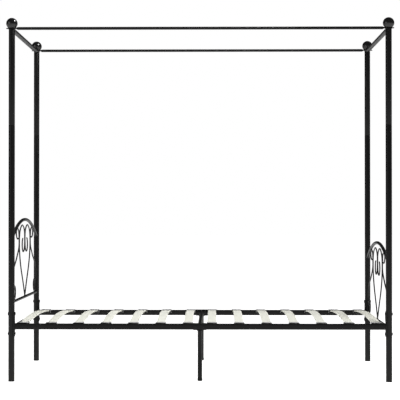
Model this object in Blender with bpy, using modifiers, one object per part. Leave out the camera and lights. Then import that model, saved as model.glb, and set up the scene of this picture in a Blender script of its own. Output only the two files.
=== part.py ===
"""Four poster canopy bed of black steel tube, with scrollwork panels and sprung slats.

X runs along the bed, head at -X and foot at +X.  Y runs across it and Z is up.
The origin is on the floor under the middle of the bed.
"""
import math

import bmesh
import bpy
from mathutils import Matrix, Vector

# Clearances and common stock
GAP = 0.0003                # between pieces that touch
WALL = 0.0015               # wall of the posts and side rails
THIN_WALL = 0.0012          # wall of the slim tubes

# Posts
POST_X = 1.0225             # post axes, from the middle of the bed
POST_Y = 0.465
POST_RADIUS = 0.017
POST_JOINT_Z = 1.390        # upper post plugs into lower post here
POST_TOP_Z = 1.9095
SPIGOT_LENGTH = 0.060
TOP_PLATE = 0.005           # plate welded in the top of the upper post
FOOT_HEIGHT = 0.004         # plastic foot under the tube
FOOT_PLUG = 0.022

# Finial
BALL_RADIUS = 0.031
BALL_Z = 1.9426
STUD_RADIUS = 0.004
STUD_HOLE = 0.0048
STUD_END_Z = 1.885

# Canopy frame, tubes with their ends pressed flat
PLATE = 0.004               # thickness of a pressed end
LONG_RAIL_RADIUS = 0.008
LONG_RAIL_OVERHANG = 0.030  # pressed end beyond the post axis
LONG_RAIL_FLAT = 0.019      # pressed end inside the post axis
LONG_RAIL_ROUND = 0.035     # round again from here
CROSSBAR_RADIUS = 0.0125
CROSSBAR_OVERHANG = 0.0165
CROSSBAR_FLAT = 0.022
CROSSBAR_ROUND = 0.050
CROSSBAR_Z = POST_TOP_Z + GAP + PLATE / 2
LONG_RAIL_Z = CROSSBAR_Z + PLATE + GAP
VENT_RADIUS = 0.0025        # coating drain hole

# End panels
ARCH_RADIUS = 0.009
ARCH_CROWN_Z = 0.875
ARCH_RISE = 0.100
LOW_RAIL_RADIUS = 0.008
LOW_RAIL_Z = 0.427
FOOT_PANEL_DROP = 0.1345    # the foot panel is the head panel set lower
ROD_RADIUS = 0.00375
BEAD_RADIUS = 0.0052        # weld between two rods

# Side rails and their brackets
RAIL_Z = 0.2975
RAIL_WIDTH = 0.020
RAIL_HEIGHT = 0.032
RAIL_CORNER = 0.003
COUPLER_HALF = 0.0355
COUPLER_WALL = 0.0022
SADDLE_LOW_Z = 0.244
SADDLE_HIGH_Z = 0.374
SADDLE_PLATE = 0.0025
SADDLE_ANGLE = math.radians(58)
BOLT_Z = (0.2585, 0.3665)
BOLT_RADIUS = 0.0038
BOLT_HOLE = 0.0046
BOLT_HEAD_RADIUS = 0.0082
BOLT_HEAD_HEIGHT = 0.0034
BOSS_RADIUS = 0.0085
BOSS_HEIGHT = 0.0020

# Middle of the bed
CENTRE_BAR_RADIUS = 0.0125
LEG_BOTTOM_Z = 0.0045
LEG_FLANGE_RADIUS = 0.0175
LEG_FLANGE = 0.003

# Slats
SLAT_COUNT = 14
SLAT_PITCH = 0.149
SLAT_INNER_X = 0.0645       # the two slats next to the middle
SLAT_WIDTH = 0.048
SLAT_THICKNESS = 0.0065
SLAT_HALF_SPAN = 0.448
SLAT_END_Z = 0.3088
SLAT_BOW = 0.0205
HOLDER_WIDTH = 0.056
HOLDER_DEPTH = 0.050
HOLDER_LOW_Z = 0.2985
HOLDER_TOP_Z = 0.3175
HOLDER_LIP = 0.0185         # how far the hook reaches over the rail

# Facets round each kind of round piece
POST_SIDES = 16
TUBE_SIDES = 10
HOLE_SIDES = 8

ORIGIN = (0.0, 0.0, 0.0)


# Scene and collections

def clear_scene():
    for obj in list(bpy.data.objects):
        bpy.data.objects.remove(obj, do_unlink=True)


def new_collection(name):
    collection = bpy.data.collections.new(name)
    bpy.context.scene.collection.children.link(collection)
    return collection


def new_material(name, colour, roughness, metallic):
    material = bpy.data.materials.new(name)
    material.use_nodes = True
    shader = material.node_tree.nodes["Principled BSDF"]
    shader.inputs["Base Color"].default_value = (*colour, 1.0)
    shader.inputs["Roughness"].default_value = roughness
    shader.inputs["Metallic"].default_value = metallic
    return material


def new_object(name, mesh, collection, location=ORIGIN):
    obj = bpy.data.objects.new(name, mesh)
    obj.location = location
    collection.objects.link(obj)
    return obj


def place(name, mesh, material, location=ORIGIN, turn=0.0):
    """One finished piece: a copy of the mesh, turned about Z and set down."""
    obj = new_object(name, mesh.copy(), PARTS, location)
    obj.rotation_euler = (0.0, 0.0, turn)
    obj.data.materials.clear()
    obj.data.materials.append(material)
    obj.data.shade_smooth()
    obj.data.set_sharp_from_angle(angle=math.radians(40))
    return obj


# Shapes: each returns a mesh

def evaluated_mesh(obj):
    """The object's mesh with its modifiers applied; the object is removed."""
    bpy.context.view_layer.update()
    graph = bpy.context.evaluated_depsgraph_get()
    mesh = bpy.data.meshes.new_from_object(obj.evaluated_get(graph))
    mesh.transform(obj.matrix_world)
    bpy.data.objects.remove(obj, do_unlink=True)
    return mesh


def mesh_from_bmesh(name, bm, closed=True):
    """Faces turned outwards; a closed shape's volume says which way that is."""
    bmesh.ops.recalc_face_normals(bm, faces=bm.faces)
    if closed and bm.calc_volume(signed=True) < 0:
        bmesh.ops.reverse_faces(bm, faces=bm.faces)
    mesh = bpy.data.meshes.new(name)
    bm.to_mesh(mesh)
    bm.free()
    return mesh


def box(name, low, high):
    bm = bmesh.new()
    bmesh.ops.create_cube(bm, size=1.0)
    low, high = Vector(low), Vector(high)
    bmesh.ops.scale(bm, vec=high - low, verts=bm.verts)
    bmesh.ops.translate(bm, vec=(low + high) / 2, verts=bm.verts)
    return mesh_from_bmesh(name, bm)


def cylinder(name, start, end, radius, sides=16):
    bm = bmesh.new()
    start, end = Vector(start), Vector(end)
    axis = end - start
    bmesh.ops.create_cone(bm, cap_ends=True, segments=sides, radius1=radius,
                          radius2=radius, depth=axis.length)
    turn = axis.to_track_quat("Z", "Y").to_matrix().to_4x4()
    bm.transform(Matrix.Translation((start + end) / 2) @ turn)
    return mesh_from_bmesh(name, bm)


def bead(name, centre, radius):
    bm = bmesh.new()
    bmesh.ops.create_uvsphere(bm, u_segments=8, v_segments=6, radius=radius)
    bmesh.ops.translate(bm, vec=centre, verts=bm.verts)
    return mesh_from_bmesh(name, bm)


def turned(name, profile, steps, closed_ring=False):
    """Revolve a profile of (radius, z) points, listed down its outer side."""
    mesh = bpy.data.meshes.new(name)
    count = len(profile)
    edges = [(i, i + 1) for i in range(count - 1)]
    if closed_ring:
        edges.append((count - 1, 0))
    mesh.from_pydata([(r, 0.0, z) for r, z in profile], edges, [])
    obj = new_object(name, mesh, CUTTERS)
    screw = obj.modifiers.new("turn", "SCREW")
    screw.steps = steps
    screw.render_steps = steps
    screw.use_merge_vertices = True
    screw.merge_threshold = 0.00001
    screw.use_smooth_shade = True
    return evaluated_mesh(obj)


def rounded_rectangle(width, height, corner, steps=2):
    """Outline points of a rectangle with quarter-circle corners."""
    points = []
    for quarter in range(4):
        sign_u = 1 if quarter in (0, 3) else -1
        sign_v = 1 if quarter < 2 else -1
        for step in range(steps + 1):
            angle = (quarter + step / steps) * math.pi / 2
            u = sign_u * (width / 2 - corner) + corner * math.cos(angle)
            v = sign_v * (height / 2 - corner) + corner * math.sin(angle)
            points.append((u, v))
    return points


def hollow_bar(name, outline, start_x, end_x, wall):
    """An open tube along X with the given (y, z) outline and wall."""
    bm = bmesh.new()
    ends = [[bm.verts.new((x, u, v)) for u, v in outline] for x in (start_x, end_x)]
    for i in range(len(outline)):
        j = (i + 1) % len(outline)
        bm.faces.new((ends[0][i], ends[0][j], ends[1][j], ends[1][i]))
    obj = new_object(name, mesh_from_bmesh(name, bm, closed=False), CUTTERS)
    add_solidify(obj, wall)
    return evaluated_mesh(obj)


def add_solidify(obj, wall, offset=-1.0):
    solidify = obj.modifiers.new("wall", "SOLIDIFY")
    solidify.thickness = wall
    solidify.offset = offset
    solidify.use_even_offset = True


def extruded(name, outline, low_z, high_z):
    """A flat (x, y) outline carried from one height to another."""
    bm = bmesh.new()
    face = bm.faces.new([bm.verts.new((x, y, low_z)) for x, y in outline])
    result = bmesh.ops.extrude_face_region(bm, geom=[face])
    top = [v for v in result["geom"] if isinstance(v, bmesh.types.BMVert)]
    bmesh.ops.translate(bm, vec=(0.0, 0.0, high_z - low_z), verts=top)
    return mesh_from_bmesh(name, bm)


def loft(name, rings):
    """Skin over rings of equal point count, with flat ends."""
    bm = bmesh.new()
    loops = [[bm.verts.new(point) for point in ring] for ring in rings]
    count = len(rings[0])
    for near, far in zip(loops, loops[1:]):
        for i in range(count):
            j = (i + 1) % count
            bm.faces.new((near[i], near[j], far[j], far[i]))
    bm.faces.new(loops[0])
    bm.faces.new(loops[-1])
    return mesh_from_bmesh(name, bm)


def curve_object(name, points, radius, sides, smooth, resolution=5, capped=True):
    """A round wire or tube through the points, bent smoothly or straight."""
    curve = bpy.data.curves.new(name, "CURVE")
    curve.dimensions = "3D"
    curve.bevel_depth = radius
    curve.bevel_resolution = (sides - 4) // 2
    curve.use_fill_caps = capped
    curve.resolution_u = resolution
    spline = curve.splines.new("BEZIER" if smooth else "POLY")
    if smooth:
        spline.bezier_points.add(len(points) - 1)
        for knot, point in zip(spline.bezier_points, points):
            knot.co = point
            knot.handle_left_type = "AUTO"
            knot.handle_right_type = "AUTO"
    else:
        spline.points.add(len(points) - 1)
        for knot, point in zip(spline.points, points):
            knot.co = (*point, 1.0)
    return new_object(name, curve, CUTTERS)


def weld_caps(mesh):
    bm = bmesh.new()
    bm.from_mesh(mesh)
    bmesh.ops.remove_doubles(bm, verts=bm.verts, dist=0.000001)
    bm.to_mesh(mesh)
    bm.free()
    return mesh


def rod(name, points, radius, sides, smooth=True, resolution=5):
    obj = curve_object(name, points, radius, sides, smooth, resolution)
    return weld_caps(evaluated_mesh(obj))


def tube(name, points, radius, wall, sides):
    """A hollow tube, open at both ends."""
    obj = curve_object(name, points, radius, sides, smooth=False, capped=False)
    skin = weld_caps(evaluated_mesh(obj))
    shell = new_object(name, skin, CUTTERS)
    add_solidify(shell, wall)
    return evaluated_mesh(shell)


def combine(name, base, others, operation):
    """Boolean of a base mesh with each of the others in turn."""
    obj = new_object(name, base, CUTTERS)
    tools = []
    for index, other in enumerate(others):
        tool = new_object(f"{name}.tool{index}", other, CUTTERS)
        tool.hide_render = True
        tool.display_type = "WIRE"
        tools.append(tool)
        boolean = obj.modifiers.new(f"step{index}", "BOOLEAN")
        boolean.operation = operation
        boolean.solver = "EXACT"
        boolean.object = tool
    mesh = evaluated_mesh(obj)
    for tool in tools:
        bpy.data.objects.remove(tool, do_unlink=True)
    return mesh


def corners():
    """The four corners of the bed: name, sign along X and sign along Y."""
    for end, sign_x in (("head", -1), ("foot", 1)):
        for side, sign_y in (("front", -1), ("back", 1)):
            yield f"{side}_{end}", sign_x, sign_y


# Posts

def lower_post_mesh():
    """Tube with two bolt holes right through it, along X."""
    inner = POST_RADIUS - WALL
    low = FOOT_HEIGHT + GAP
    ring = [(POST_RADIUS, POST_JOINT_Z), (POST_RADIUS, low), (inner, low), (inner, POST_JOINT_Z)]
    body = turned("lower_post", ring, POST_SIDES, closed_ring=True)
    reach = 2 * POST_RADIUS
    holes = [cylinder("hole", (-reach, 0, z), (reach, 0, z), BOLT_HOLE, HOLE_SIDES) for z in BOLT_Z]
    return combine("lower_post", body, holes, "DIFFERENCE")


def upper_post_mesh():
    """Tube with a necked spigot below and a drilled plate in its top."""
    shoulder = POST_JOINT_Z + GAP
    spigot = POST_RADIUS - WALL - GAP
    inner = POST_RADIUS - WALL
    foot = shoulder - SPIGOT_LENGTH
    ring = [
        (POST_RADIUS, POST_TOP_Z),
        (POST_RADIUS, shoulder),
        (spigot, shoulder),
        (spigot, foot),
        (spigot - WALL, foot),
        (spigot - WALL, shoulder + WALL),
        (inner, shoulder + 3 * WALL),
        (inner, POST_TOP_Z - TOP_PLATE),
        (STUD_HOLE, POST_TOP_Z - TOP_PLATE),
        (STUD_HOLE, POST_TOP_Z),
    ]
    return turned("upper_post", ring, POST_SIDES, closed_ring=True)


def foot_cap_mesh():
    """Plastic plug with a flange as wide as the post."""
    plug = POST_RADIUS - WALL - GAP
    profile = [
        (0.0, FOOT_HEIGHT + FOOT_PLUG),
        (plug, FOOT_HEIGHT + FOOT_PLUG),
        (plug, FOOT_HEIGHT),
        (POST_RADIUS, FOOT_HEIGHT),
        (POST_RADIUS, 0.0012),
        (POST_RADIUS - 0.0012, 0.0),
        (0.0, 0.0),
    ]
    return turned("foot_cap", profile, POST_SIDES)


def finial_mesh():
    """Ball with a flat base and a threaded stud below it."""
    base_z = LONG_RAIL_Z + PLATE / 2 + GAP
    start = math.acos((base_z - BALL_Z) / BALL_RADIUS)
    steps = 8
    profile = []
    for i in range(steps + 1):
        angle = start * i / steps
        profile.append((BALL_RADIUS * math.sin(angle), BALL_Z + BALL_RADIUS * math.cos(angle)))
    profile[0] = (0.0, BALL_Z + BALL_RADIUS)
    profile += [
        (STUD_RADIUS, base_z),
        (STUD_RADIUS, STUD_END_Z + 0.001),
        (STUD_RADIUS - 0.001, STUD_END_Z),
        (0.0, STUD_END_Z),
    ]
    return turned("finial", profile, POST_SIDES)


def build_posts():
    lower, upper = lower_post_mesh(), upper_post_mesh()
    cap, ball = foot_cap_mesh(), finial_mesh()
    for corner, sign_x, sign_y in corners():
        spot = (sign_x * POST_X, sign_y * POST_Y, 0.0)
        place(f"lower_post_{corner}", lower, COATING, spot)
        place(f"upper_post_{corner}", upper, COATING, spot)
        place(f"foot_cap_{corner}", cap, PLASTIC, spot)
        place(f"finial_{corner}", ball, COATING, spot)


# Canopy frame

def pressed_ring(radius, half_height, count):
    """Section of a round tube pressed to a half height, its girth unchanged."""
    flat = math.pi * (radius - half_height) / 2
    quarter_girth = math.pi * radius / 2
    ring = []
    for i in range(count):
        quarter, share = divmod(4 * (i + 0.5) / count, 1)
        if quarter in (1, 3):
            share = 1 - share
        walked = share * quarter_girth
        angle = max(walked - flat, 0.0) / half_height
        u = min(walked, flat) + half_height * math.sin(angle)
        v = half_height * math.cos(angle)
        ring.append((u if quarter < 2 else -u, v if quarter in (0, 3) else -v))
    return ring


def smooth_step(t):
    t = min(max(t, 0.0), 1.0)
    return t * t * (3 - 2 * t)


def pressed_stations(half_length, overhang, flat, round_from):
    """Places along half of a canopy bar: distance, roundness and end width."""
    stations = [
        (half_length + overhang, 0.0, 0.50),
        (half_length + overhang - 0.003, 0.0, 0.80),
        (half_length + overhang - 0.009, 0.0, 1.0),
    ]
    for share in (0.0, 0.25, 0.5, 0.75, 1.0):
        inward = flat + (round_from - flat) * share
        stations.append((half_length - inward, smooth_step(share), 1.0))
    return stations


def canopy_bar_mesh(name, radius, half_length, overhang, flat, round_from):
    """Hollow bar along X, pressed flat and drilled at both ends."""
    half = pressed_stations(half_length, overhang, flat, round_from)
    stations = half + [(-x, roundness, width) for x, roundness, width in reversed(half)]
    outer, inner = [], []
    for x, roundness, width in stations:
        half_height = PLATE / 2 + (radius - PLATE / 2) * roundness
        section = pressed_ring(radius, half_height, 16)
        outer.append([(x, width * u, v) for u, v in section])
        if roundness > 0.1:
            section = pressed_ring(radius - THIN_WALL, half_height - THIN_WALL, 12)
            inner.append([(x, u, v) for u, v in section])
    vents, holes = [], []
    for sign in (-1, 1):
        hole_x = sign * half_length
        vent_x = sign * (half_length - round_from - 0.020)
        holes.append(cylinder("hole", (hole_x, 0, -PLATE), (hole_x, 0, PLATE), STUD_HOLE, HOLE_SIDES))
        vents.append(cylinder("vent", (vent_x, 0, -2 * radius), (vent_x, 0, 0), VENT_RADIUS, 6))
    hollow = combine("hollow", loft("hollow", inner), vents, "UNION")
    return combine(name, loft(name, outer), [hollow] + holes, "DIFFERENCE")


def build_canopy():
    rail = canopy_bar_mesh("rail", LONG_RAIL_RADIUS, POST_X, LONG_RAIL_OVERHANG,
                           LONG_RAIL_FLAT, LONG_RAIL_ROUND)
    crossbar = canopy_bar_mesh("crossbar", CROSSBAR_RADIUS, POST_Y, CROSSBAR_OVERHANG,
                               CROSSBAR_FLAT, CROSSBAR_ROUND)
    for side, sign in (("front", -1), ("back", 1)):
        place(f"canopy_rail_{side}", rail, COATING, (0.0, sign * POST_Y, LONG_RAIL_Z))
    for end, sign in (("head", -1), ("foot", 1)):
        place(f"canopy_crossbar_{end}", crossbar, COATING,
              (sign * POST_X, 0.0, CROSSBAR_Z), math.pi / 2)


# End panels: drawn in the plane of the posts, (y, z) from the middle of the bed

def coped(name, mesh):
    """Cut both ends of a tube along Y to fit against the round posts."""
    saws = []
    for sign in (-1, 1):
        y = sign * POST_Y
        saws.append(cylinder("saw", (0, y, -0.2), (0, y, 1.2), POST_RADIUS + GAP, POST_SIDES))
    return combine(name, mesh, saws, "DIFFERENCE")


def arch_z(y):
    """Height of the arch's centre line: an arc of one radius."""
    reach = POST_Y - POST_RADIUS
    radius = (reach ** 2 + ARCH_RISE ** 2) / (2 * ARCH_RISE)
    return ARCH_CROWN_Z - radius + math.sqrt(radius ** 2 - y ** 2)


def arch_mesh():
    steps = 16
    path = []
    for i in range(steps + 1):
        y = POST_Y * (2 * i / steps - 1)
        path.append((0.0, y, arch_z(y)))
    return coped("arch", tube("arch", path, ARCH_RADIUS, THIN_WALL, TUBE_SIDES))


def straight_rail_mesh(z):
    path = [(0.0, -POST_Y, z), (0.0, POST_Y, z)]
    return coped("rail", tube("rail", path, LOW_RAIL_RADIUS, THIN_WALL, TUBE_SIDES))


def spiral(centre, start, end, start_radius, end_radius, steps):
    """Points of a scroll: angle in degrees and radius both run evenly."""
    points = []
    for i in range(steps + 1):
        share = i / steps
        angle = math.radians(start + (end - start) * share)
        radius = start_radius + (end_radius - start_radius) * share
        y = centre[0] + radius * math.cos(angle)
        z = centre[1] + radius * math.sin(angle)
        points.append((0.0, y, z))
    return points


def heart_rod_points():
    """One half of the heart, down its middle and round the inner scroll."""
    middle = ROD_RADIUS + GAP / 2
    floor = LOW_RAIL_Z + LOW_RAIL_RADIUS + ROD_RADIUS + 2 * GAP
    outline = [
        (middle + 0.002, floor),
        (0.069, 0.519),
        (0.108, 0.561),
        (0.1475, 0.607),
        (0.180, 0.662),
        (0.200, 0.730),
        (0.186, 0.801),
        (0.143, 0.8315),
        (0.092, 0.843),
        (0.045, 0.831),
        (0.0170, 0.811),
        (middle + 0.0025, 0.793),
        (middle + 0.0005, 0.775),
        (middle + 0.0005, 0.756),
        (middle + 0.0035, 0.735),
        (0.0150, 0.7130),
        (0.0300, 0.6975),
    ]
    points = [(0.0, y, z) for y, z in outline]
    return points + spiral((0.0560, 0.7280), 262, 425, 0.0385, 0.0440, 5)


def side_rod_points():
    """The long S between the heart and the post, with a scroll at each end."""
    outline = [
        (0.2420, 0.7710),
        (0.2540, 0.7670),
        (0.2710, 0.7680),
        (0.2880, 0.7760),
        (0.3010, 0.7890),
        (0.3060, 0.8030),
        (0.2960, 0.8145),
        (0.2770, 0.8225),
        (0.2540, 0.8245),
        (0.2330, 0.8190),
        (0.2170, 0.8030),
        (0.2095, 0.7720),
        (0.2085, 0.7300),
        (0.2270, 0.7060),
        (0.2600, 0.6840),
        (0.3050, 0.6540),
        (0.3530, 0.6300),
        (0.4000, 0.6010),
        (0.4300, 0.5600),
        (0.4420, 0.5200),
        (0.4380, 0.4850),
        (0.4200, 0.4580),
        (0.3980, 0.4445),
    ]
    low = spiral((0.3690, 0.4765), -80, -345, 0.0365, 0.0340, 7)
    return [(0.0, y, z) for y, z in outline] + low


def scrollwork_mesh():
    """Half of a panel's scrollwork: two bent rods joined by weld beads."""
    heart = rod("heart", heart_rod_points(), ROD_RADIUS, 6, resolution=2)
    side = rod("side", side_rod_points(), ROD_RADIUS, 6, resolution=2)
    joint = bead("bead", (0.0, 0.2043, 0.7380), BEAD_RADIUS)
    return combine("scrollwork", heart, [side, joint], "UNION")


def build_panels():
    arch, low_rail = arch_mesh(), straight_rail_mesh(LOW_RAIL_Z)
    scrollwork = scrollwork_mesh()
    for end, sign, drop in (("head", -1, 0.0), ("foot", 1, -FOOT_PANEL_DROP)):
        spot = (sign * POST_X, 0.0, drop)
        place(f"{end}_arch", arch, COATING, spot)
        place(f"{end}_low_rail", low_rail, COATING, spot)
        place(f"{end}_scrollwork_back", scrollwork, COATING, spot)
        place(f"{end}_scrollwork_front", scrollwork, COATING, spot, math.pi)
    deck_bar = straight_rail_mesh(LOW_RAIL_Z - FOOT_PANEL_DROP)
    place("head_deck_crossbar", deck_bar, COATING, (-POST_X, 0.0, 0.0))


# Side rails, drawn for the foot end: the post's axis is at x = POST_X

def saddle_mesh():
    """Curved plate that hugs the inner side of a post."""
    near = POST_RADIUS + GAP
    far = near + SADDLE_PLATE
    steps = 8
    angles = [math.pi + SADDLE_ANGLE * (2 * i / steps - 1) for i in range(steps + 1)]
    outline = [(POST_X + near * math.cos(a), near * math.sin(a)) for a in angles]
    outline += [(POST_X + far * math.cos(a), far * math.sin(a)) for a in reversed(angles)]
    return extruded("saddle", outline, SADDLE_LOW_Z, SADDLE_HIGH_Z)


def side_rail_mesh():
    """Half a side rail: tube, saddle and two threaded bosses in one."""
    outline = rounded_rectangle(RAIL_WIDTH, RAIL_HEIGHT, RAIL_CORNER)
    outline = [(u, v + RAIL_Z) for u, v in outline]
    bar = hollow_bar("bar", outline, GAP / 2, POST_X, WALL)
    saw = cylinder("saw", (POST_X, 0, 0.2), (POST_X, 0, 0.4), POST_RADIUS + SADDLE_PLATE / 2, POST_SIDES)
    bar = combine("bar", bar, [saw], "DIFFERENCE")
    face_x = POST_X - POST_RADIUS - SADDLE_PLATE / 2
    boss_end = POST_X - POST_RADIUS - SADDLE_PLATE - BOSS_HEIGHT
    joined = [bar]
    holes = []
    for z in BOLT_Z:
        joined.append(cylinder("boss", (face_x, 0, z), (boss_end, 0, z), BOSS_RADIUS, 6))
        holes.append(cylinder("hole", (boss_end - 0.01, 0, z), (POST_X, 0, z), BOLT_HOLE, HOLE_SIDES))
    rail = combine("side_rail", saddle_mesh(), joined, "UNION")
    return combine("side_rail", rail, holes, "DIFFERENCE")


def saddle_bolt_mesh():
    """Button-head bolt along X, its head on the outer side of the foot post."""
    seat = POST_RADIUS + GAP
    tip = -(POST_RADIUS + SADDLE_PLATE + BOSS_HEIGHT + 0.002)
    profile = [
        (0.0, seat + BOLT_HEAD_HEIGHT),
        (0.55 * BOLT_HEAD_RADIUS, seat + BOLT_HEAD_HEIGHT),
        (0.88 * BOLT_HEAD_RADIUS, seat + 0.72 * BOLT_HEAD_HEIGHT),
        (BOLT_HEAD_RADIUS, seat + 0.25 * BOLT_HEAD_HEIGHT),
        (BOLT_HEAD_RADIUS, seat),
        (BOLT_RADIUS, seat),
        (BOLT_RADIUS, tip + 0.001),
        (BOLT_RADIUS - 0.001, tip),
        (0.0, tip),
    ]
    mesh = turned("saddle_bolt", profile, TUBE_SIDES)
    mesh.transform(Matrix.Rotation(math.pi / 2, 4, "Y"))
    return mesh


def coupler_mesh():
    """Sleeve over the joint between two rail halves."""
    width = RAIL_WIDTH + 2 * (GAP + COUPLER_WALL)
    height = RAIL_HEIGHT + 2 * (GAP + COUPLER_WALL)
    outline = rounded_rectangle(width, height, RAIL_CORNER + GAP + COUPLER_WALL)
    outline = [(u, v + RAIL_Z) for u, v in outline]
    return hollow_bar("coupler", outline, -COUPLER_HALF, COUPLER_HALF, COUPLER_WALL)


def build_side_rails():
    rail, bolt, coupler = side_rail_mesh(), saddle_bolt_mesh(), coupler_mesh()
    for corner, sign_x, sign_y in corners():
        turn = 0.0 if sign_x > 0 else math.pi
        place(f"side_rail_{corner}", rail, COATING, (0.0, sign_y * POST_Y, 0.0), turn)
        for level, z in zip(("low", "high"), BOLT_Z):
            spot = (sign_x * POST_X, sign_y * POST_Y, z)
            place(f"saddle_bolt_{corner}_{level}", bolt, STEEL, spot, turn)
    for side, sign in (("front", -1), ("back", 1)):
        place(f"rail_coupler_{side}", coupler, COATING, (0.0, sign * POST_Y, 0.0))


# Middle support

def build_middle():
    """A cross tube between the couplers, and a leg under each coupler."""
    coupler_half_width = RAIL_WIDTH / 2 + GAP + COUPLER_WALL
    reach = POST_Y - coupler_half_width - GAP
    path = [(0.0, -reach, RAIL_Z), (0.0, reach, RAIL_Z)]
    bar = tube("centre_bar", path, CENTRE_BAR_RADIUS, WALL, TUBE_SIDES)
    place("centre_crossbar", bar, COATING)
    top = RAIL_Z - RAIL_HEIGHT / 2 - GAP - COUPLER_WALL - GAP
    inner = CENTRE_BAR_RADIUS - WALL
    ring = [
        (LEG_FLANGE_RADIUS, top),
        (LEG_FLANGE_RADIUS, top - LEG_FLANGE),
        (CENTRE_BAR_RADIUS, top - LEG_FLANGE),
        (CENTRE_BAR_RADIUS, LEG_BOTTOM_Z + 0.001),
        (CENTRE_BAR_RADIUS - 0.001, LEG_BOTTOM_Z),
        (0.0, LEG_BOTTOM_Z),
        (0.0, LEG_BOTTOM_Z + 2 * WALL),
        (inner, LEG_BOTTOM_Z + 2 * WALL),
        (inner, top - LEG_FLANGE),
        (BOLT_HOLE, top - LEG_FLANGE),
        (BOLT_HOLE, top),
    ]
    leg = turned("centre_leg", ring, TUBE_SIDES, closed_ring=True)
    for side, sign in (("front", -1), ("back", 1)):
        place(f"centre_leg_{side}", leg, COATING, (0.0, sign * POST_Y, 0.0))


# Slats

def slat_mesh():
    """Bowed strip with a hooked holder joined on each end."""
    bm = bmesh.new()
    bmesh.ops.create_grid(bm, x_segments=1, y_segments=8, size=1.0)
    for vert in bm.verts:
        share = vert.co.y
        vert.co.x *= SLAT_WIDTH / 2
        vert.co.y *= SLAT_HALF_SPAN
        vert.co.z = SLAT_END_Z + SLAT_BOW * (1 - share ** 2)
    strip = new_object("strip", mesh_from_bmesh("strip", bm, closed=False), CUTTERS)
    add_solidify(strip, SLAT_THICKNESS, offset=0.0)
    joined = []
    half = HOLDER_WIDTH / 2
    for sign in (-1, 1):
        face = sign * (POST_Y - RAIL_WIDTH / 2 - GAP)
        mouth = face - sign * HOLDER_DEPTH
        hook = face + sign * HOLDER_LIP
        ledge = RAIL_Z + RAIL_HEIGHT / 2 + GAP
        joined.append(box("pocket", (-half, min(face, mouth), HOLDER_LOW_Z),
                          (half, max(face, mouth), HOLDER_TOP_Z)))
        joined.append(box("hook", (-half, min(mouth, hook) + 0.001, ledge),
                          (half, max(mouth, hook) - 0.001, HOLDER_TOP_Z)))
    return combine("slat", evaluated_mesh(strip), joined, "UNION")


def build_slats():
    mesh = slat_mesh()
    half = SLAT_COUNT // 2
    for index in range(SLAT_COUNT):
        if index < half:
            x = -SLAT_INNER_X - (half - 1 - index) * SLAT_PITCH
        else:
            x = SLAT_INNER_X + (index - half) * SLAT_PITCH
        place(f"slat_{index + 1:02d}", mesh, PLYWOOD, (x, 0.0, 0.0))


clear_scene()
PARTS = new_collection("canopy_bed")
CUTTERS = new_collection("construction")
COATING = new_material("black_coating", (0.016, 0.016, 0.016), 0.42, 0.0)
STEEL = new_material("black_steel", (0.022, 0.022, 0.022), 0.36, 0.8)
PLASTIC = new_material("black_plastic", (0.020, 0.020, 0.020), 0.50, 0.0)
PLYWOOD = new_material("pale_plywood", (0.82, 0.80, 0.72), 0.45, 0.0)
build_posts()
build_canopy()
build_panels()
build_side_rails()
build_middle()
build_slats()
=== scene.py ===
import math

import bpy
import numpy as np
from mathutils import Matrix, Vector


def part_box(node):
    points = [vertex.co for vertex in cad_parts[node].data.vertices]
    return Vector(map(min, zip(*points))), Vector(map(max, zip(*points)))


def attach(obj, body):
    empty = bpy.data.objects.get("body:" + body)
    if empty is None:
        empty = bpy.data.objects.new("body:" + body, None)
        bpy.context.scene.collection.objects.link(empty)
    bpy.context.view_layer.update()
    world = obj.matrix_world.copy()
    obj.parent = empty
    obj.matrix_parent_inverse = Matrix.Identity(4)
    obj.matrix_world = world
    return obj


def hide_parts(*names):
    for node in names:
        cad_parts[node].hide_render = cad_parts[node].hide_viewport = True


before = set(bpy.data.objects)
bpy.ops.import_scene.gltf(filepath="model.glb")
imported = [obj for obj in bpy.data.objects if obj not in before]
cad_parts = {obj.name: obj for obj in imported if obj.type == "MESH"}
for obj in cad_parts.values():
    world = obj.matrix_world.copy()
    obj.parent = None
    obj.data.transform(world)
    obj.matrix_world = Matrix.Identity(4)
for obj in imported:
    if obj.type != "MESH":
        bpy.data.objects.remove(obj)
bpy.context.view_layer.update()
print("frame loaded:", len(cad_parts), "nodes")

tau = 2 * math.pi
corners = [
    ("front_head", -1, -1),
    ("back_head", -1, 1),
    ("front_foot", 1, -1),
    ("back_foot", 1, 1),
]


def middleOf(node):
    low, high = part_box(node)
    return np.array((low + high) / 2)


def sizeOf(node):
    low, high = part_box(node)
    return np.array(high - low)


# Places that every piece is measured from, all read off the CAD
post = middleOf("lower_post_back_foot")
bed = {
    "postX": float(post[0]),
    "postY": float(post[1]),
    "postRadius": float(sizeOf("lower_post_back_foot")[0] / 2),
    "jointZ": float(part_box("lower_post_back_foot")[1][2]),
    "topZ": float(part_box("upper_post_back_foot")[1][2]),
    "footZ": float(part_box("lower_post_back_foot")[0][2]),
    "railZ": float(middleOf("rail_coupler_front")[2]),
    "headLowZ": float(middleOf("head_low_rail")[2]),
    "footLowZ": float(middleOf("foot_low_rail")[2]),
}


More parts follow.
